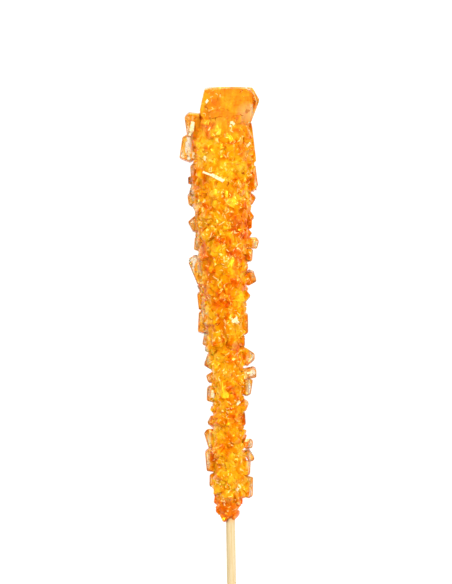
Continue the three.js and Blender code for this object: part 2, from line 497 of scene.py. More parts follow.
def largest_part(mesh):
    """Removes every loose scrap and sealed hollow, so that one outer skin is left."""
    shape = bmesh.new()
    shape.from_mesh(mesh)
    unseen = set(shape.verts)
    parts = []
    while unseen:
        part = {unseen.pop()}
        newest = list(part)
        while newest:
            neighbours = {link.other_vert(vert) for vert in newest for link in vert.link_edges} - part
            part |= neighbours
            newest = list(neighbours)
        unseen -= part
        parts.append(part)
    kept = max(parts, key=len)
    bmesh.ops.delete(shape, geom=[vert for vert in shape.verts if vert not in kept], context="VERTS")
    shape.to_mesh(mesh)
    shape.free()


def cloudy_sugar():
    """Cloudy crystallised sugar, dyed by the syrup: soft and light-filled, with paler and redder grains.

    It is redder at the thin end, where it set first.
    """
    material = new_material("cloudy_sugar")
    place = stick_coordinates(material)
    grains = add_node(
        material, "ShaderNodeTexVoronoi", {"Scale": 1 / heart_grain}, {"Vector": place}
    ).outputs["Color"]
    grain = add_node(material, "ShaderNodeSeparateColor", {}, {"Color": grains}).outputs["Red"]
    patches = add_node(
        material,
        "ShaderNodeTexNoise",
        {"Scale": 1 / heart_patch, "Detail": 3, "Roughness": 0.6},
        {"Vector": place},
    )
    shade = add_node(
        material,
        "ShaderNodeMath",
        {"operation": "MULTIPLY_ADD", 1: heart_grain_share},
        {0: grain, 2: patches},
    )
    sugar = add_node(
        material,
        "ShaderNodeValToRGB",
        {},
        {"Fac": shade},
        [(0.4, heart_orange), (0.8, heart_yellow), (1.0, heart_pale)],
    )
    along = add_node(material, "ShaderNodeSeparateXYZ", {}, {"Vector": place}).outputs["Y"]
    red_share = add_node(
        material,
        "ShaderNodeMapRange",
        {"From Min": red_end, "From Max": red_full_end, "To Max": red_strength},
        {"Value": along},
    )
    colour = add_node(
        material,
        "ShaderNodeMix",
        {"data_type": "RGBA", mix_second: linear(heart_red)},
        {mix_share: red_share, mix_first: sugar},
    ).outputs[mixed]
    surface = add_node(
        material,
        "ShaderNodeBsdfPrincipled",
        {"Roughness": 0.8, "Specular IOR Level": 0.0},
        {"Base Color": colour},
    )
    add_node(material, "ShaderNodeOutputMaterial", {}, {"Surface": surface})
    return material


table_point = lying.inverted() @ Vector((0, 0, 0))
table_side = (lying.inverted().to_3x3() @ Vector((0, 0, -1))).normalized()

inner_slabs = []
for long, wide, thick, blunt, place in grown_crystals() + placed_crystals(end_crystals + foot_crystals):
    sizes = [size - 2 * heart_depth for size in (long, wide, thick)]
    if min(sizes) > heart_smallest:
        inner_slabs.append(slab(*sizes, blunt, place, heart_edge))
for crystal in heart_crystals():
    inner_slabs.append(slab(*crystal, heart_edge))
heart_mesh = combined(core(core_inset + heart_core_depth), inner_slabs, "UNION")
heart_cuts = [
    (table_point - table_side * heart_depth, table_side),
    (Vector((0, candy_length - heart_depth, 0)), Vector((0, 1, 0))),
    (Vector((0, heart_depth, 0)), Vector((0, -1, 0))),
]
heart_mesh = cut_beyond(heart_mesh, heart_cuts)
largest_part(heart_mesh)
new_piece("cloudy_heart", heart_mesh, [cloudy_sugar()], "crystals")

# The clear crystals.
# Sugar that grew slowly out of hot orange syrup, over about a week, as slabs that lean by sugar's own
# angle. Each grew until it met its neighbours, so they are fused into one clear mass.

# written like end_crystals: first the left side's, then the right side's
side_crystals = [
    (-8.9, 118.8, 1.4, 7.6, 4.8, 2.6, 97, 12),
    (-10.5, 111.8, -0.8, 7.8, 4.8, 3.4, 81, -9),
    (-8.6, 104.6, 1.6, 5.2, 3, 2.6, 92, 8),
    (-8.9, 96.6, -1.4, 4.4, 3.8, 3, 20, 18),
    (-8.4, 89.1, 0.8, 4.6, 4.4, 3, 40, -14),
    (-7.9, 83.1, -1.6, 4.4, 3, 2.4, 85, 10),
    (-8, 75, 1.1, 10.2, 4.2, 2.2, 111, -16),
    (-6.4, 66, -1.3, 6, 4.5, 3, 95, 9),
    (-6.2, 59.4, 0.7, 7.2, 4.8, 3.4, 86, -12),
    (-5.9, 53.8, -1.3, 3.4, 2.8, 2.4, 80, 12),
    (-4.7, 47.7, 1.2, 4.5, 3.9, 2.8, 70, 15),
    (-4.8, 42.6, -0.8, 3.2, 2.8, 2.4, 30, -10),
    (-5, 37.8, 1.1, 4.8, 2.8, 2.4, 88, 12),
    (-5, 24, -1.1, 6, 3.9, 2.8, 106, -14),
    (-5.4, 17.7, 0.8, 6.9, 3.4, 2.4, 94, 11),
    (-4.8, 11.4, -0.7, 4.2, 2.6, 2.2, 88, -9),
    (-2.9, 2.8, 0.5, 3, 2.4, 2, 62, 10),
    (6.9, 113, -1.3, 13, 4.6, 3.6, 96, 6),
    (7.7, 102.9, 1.1, 9, 4.2, 3.6, 96, -10),
    (7.6, 96.3, -1.6, 3.4, 2.8, 2.4, 60, 14),
    (6.9, 90.9, 1.4, 3.2, 3, 2.6, 45, -16),
    (7.4, 83.1, -0.8, 5.1, 3.3, 2.2, -3, 12),
    (7, 79.5, 1.5, 3.9, 2.2, 2.2, 85, -14),
    (6.9, 72.6, -1.3, 4, 3.9, 2.8, 30, 18),
    (5.3, 66.9, 1.2, 3.6, 2.8, 2.4, 50, -12),
    (4.6, 58.8, -0.7, 6.6, 3.6, 3, 90, 10),
    (4, 53.6, 1.4, 3.8, 2.6, 2.4, 92, -12),
    (5.6, 48.6, -1.1, 4.8, 4.4, 2.6, -36, -15),
    (6.1, 43.8, 0.8, 5.2, 3, 3.4, 12, 13),
    (5.4, 39.6, -1.3, 5.4, 3.6, 2.8, 80, -11),
    (4.4, 34.2, 1, 3.4, 2.8, 2.4, 70, 15),
    (3.7, 30, -0.9, 4.4, 2.8, 2.4, 93, 11),
    (5.7, 22.5, 1.1, 3, 2.8, 2.4, 5, -12),
    (6, 18.9, -0.7, 3.9, 2, 2.4, 120, 14),
    (4.7, 15.2, 1, 4.8, 3.2, 2.6, 86, -12),
    (5.2, 9.3, -0.5, 6.6, 3.6, 3, 88, -9),
]

mass_inset = 0.75
mass_step = 0.9
mass_sides = 72
lump_size = 3.2
lump_height = 0.5
plate_seed = 33
plate_spacing = 2.5
plate_long = (1.6, 4.0)
plate_thick = (1.2, 2.2)
plate_depths = (0.1, 1.0)
plate_tilt = 32
plate_end = 116

edge_rounding = 0.28
worn_length = 8.5
worn_rounding = 0.9
worn_steps = 4
small_rounding = 0.2
step_seed = 12
step_rise = (0.1, 0.26)
step_inset = (0.3, 1.1)
steps_in_width = 3
step_shift = 0.8


def grown_mass():
    """The sugar that has grown together under the crystals, smooth and lumpy, as an object."""
    steps = round(candy_length / mass_step)
    rings = []
    for step in range(steps + 1):
        along = step * candy_length / steps
        ring = []
        for side in range(mass_sides):
            angle = 2 * math.pi * side / mass_sides
            reach = reach_at(along, angle) - mass_inset
            place = round_point(along, reach, angle)
            lump = noise.noise(place / lump_size) + noise.noise(place * 2 / lump_size) / 2
            ring.append(round_point(along, max(reach + lump_height * lump, stick_diameter / 2), angle))
        rings.append(ring)
    mesh = skin_over(rings)
    smooth_sides(mesh)
    return bpy.data.objects.new("mass", mesh)


def lying_plates():
    """Flat crystals that lie over the mass at drawn tilts, so that they stand out little."""
    draw = draws_from(plate_seed)
    crystals = []
    for along, angle, reach in spiral(plate_spacing, plate_end):
        long = between(*plate_long, draw() ** 2)
        wide = long * between(*wide_share, draw())
        thick = between(*plate_thick, draw())
        out = max(0, reach - between(*plate_depths, draw()) - thick / 2)
        facing = Matrix.Rotation(math.pi / 2 - angle, 4, "Y") @ Matrix.Rotation(2 * math.pi * draw(), 4, "Z")
        tilt = Matrix.Rotation(math.radians(plate_tilt * math.sqrt(draw())), 4, "X")
        turn = Matrix.Rotation(2 * math.pi * draw(), 4, "Z")
        place = Matrix.Translation(round_point(along, out, angle)) @ facing @ tilt @ turn
        crystals.append((long, wide, thick, False, place))
    return crystals


def stepped_crystals(crystals, edge_slot):
    """Each crystal as two slabs: a full one, and one a growth step smaller that stands out of it.

    The largest crystals have edges that are worn round.
    """
    draw = draws_from(step_seed)
    slabs = []
    for long, wide, thick, blunt, place in crystals:
        rise = between(*step_rise, draw())
        inset = min(between(*step_inset, draw()), wide / steps_in_width)
        shift = Vector((draw() - 0.5, draw() - 0.5, 0)) * inset * step_shift
        worn = long > worn_length
        rounding = worn_rounding if worn else edge_rounding
        steps = worn_steps if worn else 1
        slabs.append(slab(long, wide, thick - 2 * rise, blunt, place, rounding, edge_slot, steps))
        shifted = place @ Matrix.Translation(shift)
        slabs.append(slab(long - inset, wide - inset, thick, blunt, shifted, rise / 2))
    return slabs


# The orange dye takes the blue out of light, so deep sugar looks redder than thin sugar. Each shift or
# share of the shade makes the sugar yellower where it adds to it, and redder where it takes from it.
sugar_ior = 1.54
sugar_shine = (1.0, 0.86, 0.04, 1)
dye_colour = (1.0, 0.62, 0.05, 1)
dye_density = 90.0
glow_reach = (1.0, 0.45, 0.12)
glow_depth = 1.2

sugar_red = "#DE5E00"
sugar_orange = "#E68C02"
sugar_golden = "#EBA40A"
sugar_yellow = "#F1BA22"
patch_size = 4
zone_size = 9
zone_share = 0.3
grain_size = 1.4
grain_share = 0.15
# across and along of the middle; radius; and how much yellower, or below zero redder
dye_spots = [
    (-3.4, 117.5, 3.2, -0.09),
    (1.5, 110, 3, 0.1),
    (-1, 104.5, 5, 0.06),
    (-0.8, 97.8, 3.2, 0.07),
    (5.6, 88.5, 4.8, -0.06),
    (2.6, 80, 3.2, -0.14),
    (-3, 81, 3, 0.08),
    (-0.5, 76, 2.6, 0.08),
    (-5.5, 72.5, 3, 0.1),
    (-1.5, 66, 4.2, -0.09),
    (4.6, 60, 2.6, 0.07),
    (1.5, 49.5, 4.2, -0.14),
    (-4, 48, 3.4, 0.14),
    (-4, 37, 3, 0.12),
    (4.4, 30, 2.8, -0.1),
    (1.5, 19, 5, 0.08),
]
spot_wander = 2.5
spot_wander_size = 3
dye_band = 78
band_near = 4
band_far = 30
band_shift = (-0.02, 0.035)
first_sugar = "#F26A02"
first_sugar_full = 4
first_sugar_end = 9
first_sugar_strength = 0.75

# The large crystals of the flat end grew slowest. They are more even, with faint lines and a pale haze.
# A pale rim along the end's edge and a pale patch at its right side are painted light.
calm_start = 114
calm_full = 120
calm_strength = 0.45
calm_shade = 0.58
growth_line_size = (6, 0.6, 6)
growth_line_share = 0.35
# The pale veil is a faint haze over the end crystals, and at the end's right side a patch of painted light.
haze_and_edge_light_pale = "#F8D49C"
edge_light_place = (7.4, 122.0, 4.0)
edge_light_size = 4.5
edge_light_core = 0.3
veil_of_end = 0.2
# A pale rim along the flat end's edge: painted light.
rim_light_width = 0.8
rim_light_fade = 0.3
rim_light_strength = 0.5

# Beyond this reach, which grows along the candy, the crystals' tips have little dye behind them.
tip_orange = "#F89A14"
tip_pale = "#F6CE88"
tip_grey = "#F0ECDC"
tip_along = (45, 100)
tip_reach = (5.0, 8.9)
tip_fade = (0.2, 1.6)
tip_flatness = 0.75

# Clouds of tiny flaws in the sugar, longer along the candy than across it.
cloud_size = 1.8
cloud_stretch = (1, 0.35, 1)
cloud_clearness = (0.15, 0.42)

# Real cracks and seams are a few hundredths of a millimetre wide, too fine to show, so they are drawn
# wider. Each has a spacing, width and length, and the share of places that have one.
glint_crack_sizes = [(1.9, 0.34, 1.9, 0.6), (1.1, 0.22, 1.2, 0.6)]
seam_size = (1.7, 0.2, 2.0, 0.6)
# The pale of the cracks is a painted glint: the light that the cracks would catch.
glint_crack_pale = "#FFF0A8"
seam_brown = "#A83C00"
crack_wander = 1.2
# how far from its middle line and from its middle a crack fades out and is full, as shares of its
# width and length
crack_fade = (0.65, 0.25)
crack_end_fade = (0.5, 0.3)
glint_crack_cluster = 7
cluster_share = (0.2, 0.95)
fewer_glint_cracks = 0.6

# The side crystals' edges are coloured darker: painted shade, where their real edges turn the light away.
shaded_edge_brown = "#A8642C"
shaded_edge_orange = "#F2A040"
edge_shade_mottle_size = 1.2

# Growth leaves shallow waves on the faces, and handling leaves a little sugar dust that dulls them.
wave_size = 1.3
wave_height = 0.4
cloud_relief = 0.5
dust_size = 2.5
dust_roughness = (0.05, 0.17)


def pushed_about(owner, place, size, far, detail):
    """Places pushed about by up to a given distance, so that what is drawn there has uneven edges."""
    push = add_node(
        owner, "ShaderNodeTexNoise", {"Scale": 1 / size, "Detail": detail}, {"Vector": place}
    ).outputs["Color"]
    return add_node(
        owner, "ShaderNodeVectorMath", {"operation": "MULTIPLY_ADD", 1: (far, far, far)}, {0: push, 2: place}
    )


def cracks(owner, place, spacing, width, length, share):
    """A mask of short thin lines that lie every way, where flat cracks meet the surface."""
    bent = pushed_about(owner, place, spacing, crack_wander, detail=1)
    cells = add_node(owner, "ShaderNodeTexVoronoi", {"Scale": 1 / spacing}, {"Vector": bent}).outputs
    offset = add_node(
        owner, "ShaderNodeVectorMath", {"operation": "SUBTRACT"}, {0: bent, 1: cells["Position"]}
    )
    lean = add_node(
        owner, "ShaderNodeVectorMath", {"operation": "SUBTRACT", 1: (0.5, 0.5, 0.5)}, {0: cells["Color"]}
    )
    facing = add_node(owner, "ShaderNodeVectorMath", {"operation": "NORMALIZE"}, {0: lean})
    side = add_node(
        owner, "ShaderNodeVectorMath", {"operation": "DOT_PRODUCT"}, {0: offset, 1: facing}
    ).outputs["Value"]
    gap = add_node(owner, "ShaderNodeMath", {"operation": "ABSOLUTE"}, {0: side})
    none_at, full_at = [width * part for part in crack_fade]
    thin = add_node(owner, "ShaderNodeMapRange", {"From Min": none_at, "From Max": full_at}, {"Value": gap})
    from_middle = add_node(
        owner, "ShaderNodeVectorMath", {"operation": "LENGTH"}, {0: offset}
    ).outputs["Value"]
    none_at, full_at = [length * part for part in crack_end_fade]
    near = add_node(
        owner, "ShaderNodeMapRange", {"From Min": none_at, "From Max": full_at}, {"Value": from_middle}
    )
    drawn = add_node(owner, "ShaderNodeTexWhiteNoise", {}, {"Vector": cells["Position"]})
    strength = add_node(owner, "ShaderNodeMapRange", {"From Min": 1 - share}, {"Value": drawn})
    line = add_node(owner, "ShaderNodeMath", {"operation": "MULTIPLY"}, {0: thin, 1: near})
    return add_node(owner, "ShaderNodeMath", {"operation": "MULTIPLY"}, {0: line, 1: strength})


def dye_spot_shift(owner, place):
    """How much yellower the sugar is where it took up less dye, or below zero how much redder."""
    bent = pushed_about(owner, place, spot_wander_size, spot_wander, detail=2)
    level = add_node(owner, "ShaderNodeVectorMath", {"operation": "MULTIPLY", 1: (1, 1, 0)}, {0: bent})
    total = None
    # Places are pushed by half the wander on average, so the spots' middles are moved by as much.
    for across, along, radius, shift in dye_spots:
        middle = (across + spot_wander / 2, along + spot_wander / 2, 0)
        away = add_node(
            owner, "ShaderNodeVectorMath", {"operation": "DISTANCE", 1: middle}, {0: level}
        ).outputs["Value"]
        spot = add_node(
            owner,
            "ShaderNodeMapRange",
            {"From Min": radius, "From Max": radius / 2, "To Max": shift},
            {"Value": away},
        )
        both = {0: spot} if total is None else {0: spot, 1: total}
        total = add_node(owner, "ShaderNodeMath", {"operation": "ADD", 1: 0}, both)
    return total


def dye_shade(owner, place, along, calm_share):
    """How yellow the sugar is: by patches, zones, spots and grains, with more dye in the candy's middle."""
    patches = add_node(
        owner,
        "ShaderNodeTexNoise",
        {"Scale": 1 / patch_size, "Detail": 4, "Roughness": 0.6, "Distortion": 0.6},
        {"Vector": place},
    )
    zones = add_node(owner, "ShaderNodeTexNoise", {"Scale": 1 / zone_size, "Detail": 1}, {"Vector": place})
    zone_shift = add_node(
        owner,
        "ShaderNodeMapRange",
        {"clamp": False, "To Min": -zone_share / 2, "To Max": zone_share / 2},
        {"Value": zones},
    )
    spotted = add_node(
        owner, "ShaderNodeMath", {"operation": "ADD"}, {0: patches, 1: dye_spot_shift(owner, place)}
    )
    zoned = add_node(owner, "ShaderNodeMath", {"operation": "ADD"}, {0: spotted, 1: zone_shift})
    grains = add_node(
        owner, "ShaderNodeTexVoronoi", {"Scale": 1 / grain_size}, {"Vector": place}
    ).outputs["Color"]
    grain = add_node(owner, "ShaderNodeSeparateColor", {}, {"Color": grains}).outputs["Red"]
    grained = add_node(
        owner, "ShaderNodeMath", {"operation": "MULTIPLY_ADD", 1: grain_share}, {0: grain, 2: zoned}
    )
    from_band = add_node(owner, "ShaderNodeMath", {"operation": "SUBTRACT", 1: dye_band}, {0: along})
    away = add_node(owner, "ShaderNodeMath", {"operation": "ABSOLUTE"}, {0: from_band})
    in_band, out_of_band = band_shift
    banded = add_node(
        owner,
        "ShaderNodeMapRange",
        {"From Min": band_near, "From Max": band_far, "To Min": in_band, "To Max": out_of_band},
        {"Value": away},
    )
    shade = add_node(owner, "ShaderNodeMath", {"operation": "ADD"}, {0: grained, 1: banded})
    # A Mix node for numbers has them at sockets 2 and 3, and gives the mixed number first.
    calmed = add_node(
        owner, "ShaderNodeMix", {"data_type": "FLOAT", 3: calm_shade}, {mix_share: calm_share, 2: shade}
    )
    line_place = add_node(
        owner, "ShaderNodeMapping", {"Scale": [1 / size for size in growth_line_size]}, {"Vector": place}
    )
    growth_lines = add_node(owner, "ShaderNodeTexNoise", {"Scale": 1, "Detail": 2}, {"Vector": line_place})
    line_shift = add_node(
        owner,
        "ShaderNodeMapRange",
        {"clamp": False, "To Min": -growth_line_share / 2, "To Max": growth_line_share / 2},
        {"Value": growth_lines},
    )
    return add_node(
        owner, "ShaderNodeMath", {"operation": "MULTIPLY_ADD"}, {0: line_shift, 1: calm_share, 2: calmed}
    )


def dyed_body(owner, place, along, calm_share, clouds):
    """The colour of sound sugar: dyed, redder at the thin end; at the flat end a pale rim of painted light,
    and veils of haze and painted light.
    """
    shade = dye_shade(owner, place, along, calm_share)
    sugar = add_node(
        owner,
        "ShaderNodeValToRGB",
        {},
        {"Fac": shade},
        [(0.38, sugar_red), (0.54, sugar_orange), (0.64, sugar_golden), (0.8, sugar_yellow)],
    )
    first_share = add_node(
        owner,
        "ShaderNodeMapRange",
        {"From Min": first_sugar_end, "From Max": first_sugar_full, "To Max": first_sugar_strength},
        {"Value": along},
    )
    rim_light_start = candy_length - rim_light_width
    rim_light_share = add_node(
        owner,
        "ShaderNodeMapRange",
        {"From Min": rim_light_start, "From Max": rim_light_start + rim_light_fade, "To Max": rim_light_strength},
        {"Value": along},
    )
    # A patch of painted light at the end's right side, with a faint haze over all of the end.
    from_edge_light = add_node(
        owner, "ShaderNodeVectorMath", {"operation": "DISTANCE", 1: edge_light_place}, {0: place}
    ).outputs["Value"]
    edge_light_depth = add_node(
        owner,
        "ShaderNodeMapRange",
        {"From Min": edge_light_size, "From Max": edge_light_core * edge_light_size},
        {"Value": from_edge_light},
    )
    haze_and_edge_light = add_node(
        owner, "ShaderNodeMath", {"operation": "MULTIPLY_ADD", 1: veil_of_end}, {0: calm_share, 2: edge_light_depth}
    )
    haze_and_edge_light_share = add_node(
        owner, "ShaderNodeMath", {"operation": "MULTIPLY", "use_clamp": True}, {0: haze_and_edge_light, 1: clouds}
    )
    colour = sugar
    for share, hex_colour in ((first_share, first_sugar), (rim_light_share, tip_pale), (haze_and_edge_light_share, haze_and_edge_light_pale)):
        colour = add_node(
            owner,
            "ShaderNodeMix",
            {"data_type": "RGBA", mix_second: linear(hex_colour)},
            {mix_share: share, mix_first: colour},
        ).outputs[mixed]
    return colour


def tip_share_at(owner, place, along):
    """A mask of the crystals' outer tips, which have little dye behind them."""
    level = add_node(
        owner, "ShaderNodeVectorMath", {"operation": "MULTIPLY", 1: (1, 0, tip_flatness)}, {0: place}
    )
    reach = add_node(owner, "ShaderNodeVectorMath", {"operation": "LENGTH"}, {0: level}).outputs["Value"]
    (start, end), (start_reach, end_reach) = tip_along, tip_reach
    tip_start = add_node(
        owner,
        "ShaderNodeMapRange",
        {"From Min": start, "From Max": end, "To Min": start_reach, "To Max": end_reach},
        {"Value": along},
    )
    beyond = add_node(owner, "ShaderNodeMath", {"operation": "SUBTRACT"}, {0: reach, 1: tip_start})
    none_at, full_at = tip_fade
    return add_node(
        owner, "ShaderNodeMapRange", {"From Min": none_at, "From Max": full_at}, {"Value": beyond}
    )


def clustered_glint_cracks(owner, place, calm_share):
    """The pale cracks, which carry painted glints, in clusters, and fewer of them in the large crystals of
    the flat end.
    """
    wide_glint_cracks, fine_glint_cracks = [cracks(owner, place, *size) for size in glint_crack_sizes]
    any_glint_cracks = add_node(owner, "ShaderNodeMath", {"operation": "MAXIMUM"}, {0: wide_glint_cracks, 1: fine_glint_cracks})
    clusters = add_node(
        owner, "ShaderNodeTexNoise", {"Scale": 1 / glint_crack_cluster, "Detail": 2}, {"Vector": place}
    )
    fewest, most = cluster_share
    share = add_node(
        owner,
        "ShaderNodeMapRange",
        {"From Min": 0.4, "From Max": 0.56, "To Min": fewest, "To Max": most},
        {"Value": clusters},
    )
    clustered = add_node(owner, "ShaderNodeMath", {"operation": "MULTIPLY"}, {0: any_glint_cracks, 1: share})
    fewer = add_node(owner, "ShaderNodeMath", {"operation": "MULTIPLY", 1: fewer_glint_cracks}, {0: calm_share})
    return add_node(
        owner, "ShaderNodeMath", {"operation": "SUBTRACT", "use_clamp": True}, {0: clustered, 1: fewer}
    )


def finish_dyed_sugar(material, surface):
    """Gives clear sugar its surface, and the dye that colours light on its way through."""
    dye = add_node(material, "ShaderNodeVolumeAbsorption", {"Color": dye_colour, "Density": dye_density})
    add_node(material, "ShaderNodeOutputMaterial", {}, {"Surface": surface, "Volume": dye})


def painted_shade_edges():
    """The edges of the side crystals: the same sugar, coloured darker as painted shade, where real edges turn
    the light away.
    """
    material = new_material("painted_shade_edges")
    place = stick_coordinates(material)
    edge_shade_mottle = add_node(material, "ShaderNodeTexNoise", {"Scale": 1 / edge_shade_mottle_size, "Detail": 2}, {"Vector": place})
    edge_colour = add_node(
        material, "ShaderNodeValToRGB", {}, {"Fac": edge_shade_mottle}, [(0.36, shaded_edge_brown), (0.52, shaded_edge_orange)]
    )
    surface = add_node(
        material,
        "ShaderNodeBsdfPrincipled",
        {"IOR": sugar_ior, "Roughness": 0.25, "Specular Tint": sugar_shine, "Transmission Weight": 0.6},
        {"Base Color": edge_colour},
    )
    finish_dyed_sugar(material, surface)
    return material


def clear_orange_sugar():
    """Sugar crystal, dyed orange by its syrup: glossy, a little cloudy inside, and clearer at the tips.

    Pale lines are painted glints where flat cracks inside it would catch the light, and dyed seams show where
    crystals meet.
    """
    material = new_material("clear_orange_sugar")
    place = stick_coordinates(material)
    along = add_node(material, "ShaderNodeSeparateXYZ", {}, {"Vector": place}).outputs["Y"]
    calm_share = add_node(
        material,
        "ShaderNodeMapRange",
        {"From Min": calm_start, "From Max": calm_full, "To Max": calm_strength},
        {"Value": along},
    )
    cloud_place = add_node(
        material, "ShaderNodeVectorMath", {"operation": "MULTIPLY", 1: cloud_stretch}, {0: place}
    )
    clouds = add_node(
        material,
        "ShaderNodeTexNoise",
        {"Scale": 1 / cloud_size, "Detail": 3, "Roughness": 0.6, "Distortion": 0.5},
        {"Vector": cloud_place},
    )
    body = dyed_body(material, place, along, calm_share, clouds)
    tip_share = tip_share_at(material, place, along)
    tips = add_node(
        material,
        "ShaderNodeValToRGB",
        {},
        {"Fac": clouds},
        [(0.43, tip_orange), (0.49, tip_pale), (0.53, tip_grey)],
    )
    colour = add_node(
        material,
        "ShaderNodeMix",
        {"data_type": "RGBA"},
        {mix_share: tip_share, mix_first: body, mix_second: tips},
    ).outputs[mixed]
    seamed = cracks(material, place, *seam_size)
    glint_cracks = clustered_glint_cracks(material, place, calm_share)
    # The pale cracks carry painted glints; the brown seams are the sugar's own colour.
    for share, hex_colour in ((seamed, seam_brown), (glint_cracks, glint_crack_pale)):
        colour = add_node(
            material,
            "ShaderNodeMix",
            {"data_type": "RGBA", mix_second: linear(hex_colour)},
            {mix_share: share, mix_first: colour},
        ).outputs[mixed]
    least_clear, most_clear = cloud_clearness
    clear_clouds = add_node(
        material,
        "ShaderNodeMapRange",
        {"From Min": 0.4, "From Max": 0.65, "To Min": least_clear, "To Max": most_clear},
        {"Value": clouds},
    )
    sound_clearness = add_node(
        material, "ShaderNodeMath", {"operation": "MAXIMUM"}, {0: clear_clouds, 1: tip_share}
    )
    clearness = add_node(
        material,
        "ShaderNodeMath",
        {"operation": "SUBTRACT", "use_clamp": True},
        {0: sound_clearness, 1: glint_cracks},
    )
    dust = add_node(
        material,
        "ShaderNodeTexNoise",
        {"Scale": 1 / dust_size, "Detail": 5, "Roughness": 0.7},
        {"Vector": place},
    )
    clean, dusty = dust_roughness
    roughness = add_node(
        material,
        "ShaderNodeMapRange",
        {"From Min": 0.45, "From Max": 0.75, "To Min": clean, "To Max": dusty},
        {"Value": dust},
    )
    waves = add_node(
        material,
        "ShaderNodeTexNoise",
        {"Scale": 1 / wave_size, "Detail": 3, "Roughness": 0.6},
        {"Vector": place},
    )
    height = add_node(
        material, "ShaderNodeMath", {"operation": "MULTIPLY_ADD", 1: cloud_relief}, {0: clouds, 2: waves}
    )
    relief = add_node(
        material, "ShaderNodeBump", {"Strength": 0.5, "Distance": wave_height * mm}, {"Height": height}
    )
    surface = add_node(
        material,
        "ShaderNodeBsdfPrincipled",
        {
            "IOR": sugar_ior,
            "Specular IOR Level": 0.42,
            "Specular Tint": sugar_shine,
            "Subsurface Weight": 1.0,
            "Subsurface Radius": glow_reach,
            "Subsurface Scale": glow_depth * mm,
        },
        {"Base Color": colour, "Roughness": roughness, "Transmission Weight": clearness, "Normal": relief},
    )
    finish_dyed_sugar(material, surface)
    return material


# The second slot is for the side crystals' edges, which carry painted shade.
face_slot, shaded_edge_slot = 0, 1
grown_slabs = grown_crystals() + placed_crystals(end_crystals + foot_crystals)
clear_slabs = stepped_crystals(grown_slabs, face_slot)
clear_slabs += stepped_crystals(placed_crystals(side_crystals), shaded_edge_slot)
clear_slabs += [slab(*crystal, small_rounding) for crystal in lying_plates()]
mass = grown_mass()
# The slots are empty until the piece is made, but the joined mesh keeps the slabs' slot numbers by them.
for slot in (face_slot, shaded_edge_slot):
    mass.data.materials.append(None)
crystal_mesh = combined(mass, clear_slabs, "UNION")
crystal_cuts = [(table_point, table_side), (Vector((0, candy_length, 0)), Vector((0, 1, 0)))]
crystal_mesh = cut_beyond(crystal_mesh, crystal_cuts)
largest_part(crystal_mesh)
sugars = [clear_orange_sugar(), painted_shade_edges()]
crystals = new_piece("clear_crystals", crystal_mesh, sugars, "crystals")

# The frosted crystals.
# Thin crystals at the surface that grew last, out of syrup with hardly any dye left in it, and dried with
# a fine frost of sugar on their faces. They are fused to the crystals under them.

# Their white is partly a painted highlight: they stand where bright glints show, and the frost gives only
# part of that brightness.
# across and along of the middle; long, wide and thick; turn from across to along, in degrees
frosted_glint_crystals = [
    (-4.8, 125.8, 1.1, 0.7, 0.9, 50),
    (2.5, 119.3, 0.9, 0.8, 1.2, 10),
    (3.1, 118.9, 0.8, 0.6, 1.2, 50),
    (2.1, 118.3, 0.6, 0.5, 1.2, -30),
    (-9.3, 118.4, 3.0, 1.2, 1.2, 82),
    (-9.8, 116.4, 1.6, 0.7, 1.2, 60),
    (7.4, 112.6, 1.7, 0.6, 1.2, 48),
    (-9.1, 109.7, 1.8, 0.8, 1.2, 75),
    (-5.7, 108.8, 1.4, 0.6, 1.2, 95),
    (-3.9, 103.8, 5.4, 0.6, 1.8, -20),
    (-2.0, 102.9, 4.2, 1.0, 1.8, -29),
    (2.3, 60.2, 1.9, 1.5, 1.4, 20),
    (2.9, 59.6, 1.4, 1.0, 1.4, -40),
    (6.6, 44.1, 1.6, 0.6, 1.2, 12),
    (-4.6, 37.8, 2.2, 1.1, 1.2, 80),
    (3.0, 35.0, 1.4, 0.8, 1.2, 40),
    (2.4, 9.5, 1.8, 1.0, 1.2, 60),
]
frosted_rise = 0.15
frosted_edge = 0.1
probe_share = 0.4
# The frost's white is partly a painted highlight.
glint_frost_white = "#EEE2BC"
frost_cream = "#E6BE80"
# Frost grains are about 0.1 mm, too fine to show, so they are drawn larger.
frost_grain = 0.5
frost_relief = 0.1


def height_of_candy(surface, across, along):
    """How far the candy's upper side is above the stick's centre line, in millimetres."""
    start = lying @ Vector((across, along, candy_length))
    found = surface.ray_cast(start, lying.to_3x3() @ Vector((0, 0, -1)))[0]
    return (lying.inverted() @ found).z


def frosted_glint_slabs():
    """The frosted crystals, which carry painted highlights, as objects, each lying on the highest of three
    places under it.
    """
    surface = BVHTree.FromObject(crystals, bpy.context.evaluated_depsgraph_get())
    slabs = []
    for across, along, long, wide, thick, turn in frosted_glint_crystals:
        turned = Matrix.Rotation(math.radians(turn), 4, "Z")
        probe = turned @ Vector((long * probe_share, 0, 0))
        probed = [(across + step * probe.x, along + step * probe.y) for step in (-1, 0, 1)]
        top = max(height_of_candy(surface, *spot) for spot in probed)
        place = Matrix.Translation((across, along, top + frosted_rise - thick / 2)) @ turned
        slabs.append(slab(long, wide, thick, False, place, frosted_edge))
    return slabs


